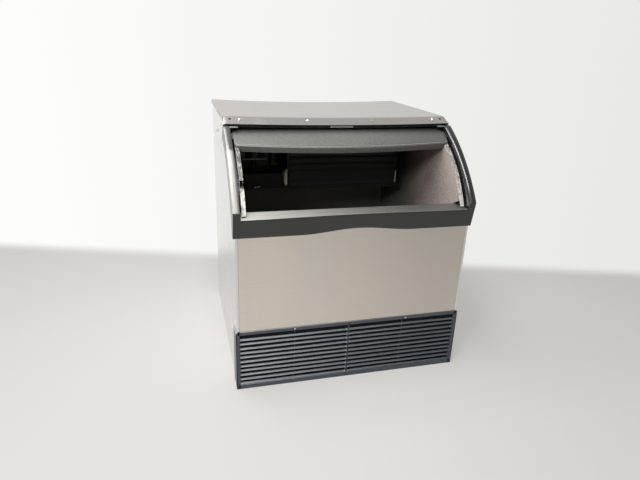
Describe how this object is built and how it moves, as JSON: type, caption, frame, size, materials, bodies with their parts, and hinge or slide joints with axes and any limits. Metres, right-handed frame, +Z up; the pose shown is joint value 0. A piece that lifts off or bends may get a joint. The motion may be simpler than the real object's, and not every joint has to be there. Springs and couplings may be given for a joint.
{
  "type": "ice cube maker",
  "caption": "Undercounter ice cube maker: steel cabinet, insulated bin, sliding hood door, freezing plate behind a curtain, louvered machine room below.",
  "frame": {"origin": "on the floor, below the middle of the whole machine's box", "axes": "+X to the machine's right as seen by someone in front of it, +Y from its front to its back, +Z up"},
  "size_m": [0.77, 0.762, 0.838],
  "materials": {
    "front_steel": "satin",
    "top_steel": "satin",
    "side_steel": "satin",
    "galvanised_steel": "matte",
    "bright_bracket": "satin",
    "rail_plastic": "satin",
    "door_plastic": "matte",
    "louver_plastic": "matte",
    "liner_plastic": "satin",
    "inner_plastic": "satin",
    "white_plastic": "satin",
    "filter_mesh": "matte",
    "foam": "matte",
    "nickel": "satin",
    "copper": "satin",
    "brass": "satin",
    "bare_aluminium": "satin",
    "black_enamel": "satin",
    "rubber": "matte"
  },
  "bodies": {
    "cabinet": {"base_pan": "galvanised_steel", "bin_floor_pan": "galvanised_steel", "back_panel": "galvanised_steel", "front_panel": "front_steel", "top_panel": "top_steel", "left_side_panel": "side_steel", "right_side_panel": "side_steel", "front_crossbar": "galvanised_steel", "bin_liner": "liner_plastic", "bin_insulation": "foam", "front_sill": "rail_plastic", "left_door_rail": "rail_plastic", "right_door_rail": "rail_plastic", "left_track_strip": "bright_bracket", "right_track_strip": "bright_bracket", "left_louver_panel": "louver_plastic", "right_louver_panel": "louver_plastic", "left_air_filter": "filter_mesh", "right_air_filter": "filter_mesh", "freezer_chassis": "inner_plastic", "left_curtain_bracket": "bright_bracket", "right_curtain_bracket": "bright_bracket", "evaporator_plate": "nickel", "evaporator_coil": "copper", "water_distributor": "white_plastic", "water_trough": "inner_plastic", "pump_bracket": "bright_bracket", "pump_motor": "black_enamel", "pump_housing": "inner_plastic", "pump_hose": "rubber", "float_stem": "white_plastic", "compressor": "black_enamel", "compressor_terminal_cover": "inner_plastic", "left_front_compressor_mount": "rubber", "left_rear_compressor_mount": "rubber", "right_front_compressor_mount": "rubber", "right_rear_compressor_mount": "rubber", "condenser_coil": "bare_aluminium", "fan_shroud": "galvanised_steel", "fan_motor": "bare_aluminium", "fan_motor_bracket": "bright_bracket", "discharge_line": "copper", "suction_line": "copper", "filter_drier": "copper", "control_box": "galvanised_steel", "control_box_cover": "galvanised_steel", "water_inlet_valve": "brass", "drain_fitting": "white_plastic", "drain_hose": "rubber", "power_inlet_gland": "inner_plastic"},
    "door": {"bin_door": "door_plastic", "left_front_glide": "white_plastic", "left_rear_glide": "white_plastic", "right_front_glide": "white_plastic", "right_rear_glide": "white_plastic"},
    "curtain": {"splash_curtain": "inner_plastic"},
    "impeller": {"pump_impeller": "white_plastic"},
    "float": {"sump_float": "white_plastic"},
    "fan": {"fan_blade": "bare_aluminium"},
    "switch": {"power_switch_rocker": "rubber"}
  },
  "joints": [
    {"name": "door_slide", "type": "hinge", "parent": "cabinet", "child": "door", "pos_m": [0, -0.005, 0.429], "axis": [1, 0, 0], "range_deg": [0, 29.5]},
    {"name": "curtain_swing", "type": "hinge", "parent": "cabinet", "child": "curtain", "pos_m": [0, 0.068, 0.773], "axis": [-1, 0, 0], "range_deg": [0, 30]},
    {"name": "pump_spin", "type": "hinge", "parent": "cabinet", "child": "impeller", "pos_m": [-0.252, 0.132, 0.558], "axis": [0, 0, 1], "continuous": true},
    {"name": "float_rise", "type": "slide", "parent": "cabinet", "child": "float", "axis": [0, 0, 1], "range_m": [0, 0.018]},
    {"name": "fan_spin", "type": "hinge", "parent": "cabinet", "child": "fan", "pos_m": [-0.207, -0.2512, 0.1035], "axis": [0, 1, 0], "continuous": true},
    {"name": "power_switch", "type": "hinge", "parent": "cabinet", "child": "switch", "pos_m": [0.136, -0.32275, 0.1241], "axis": [1, 0, 0], "range_deg": [-10, 10]}
  ]
}
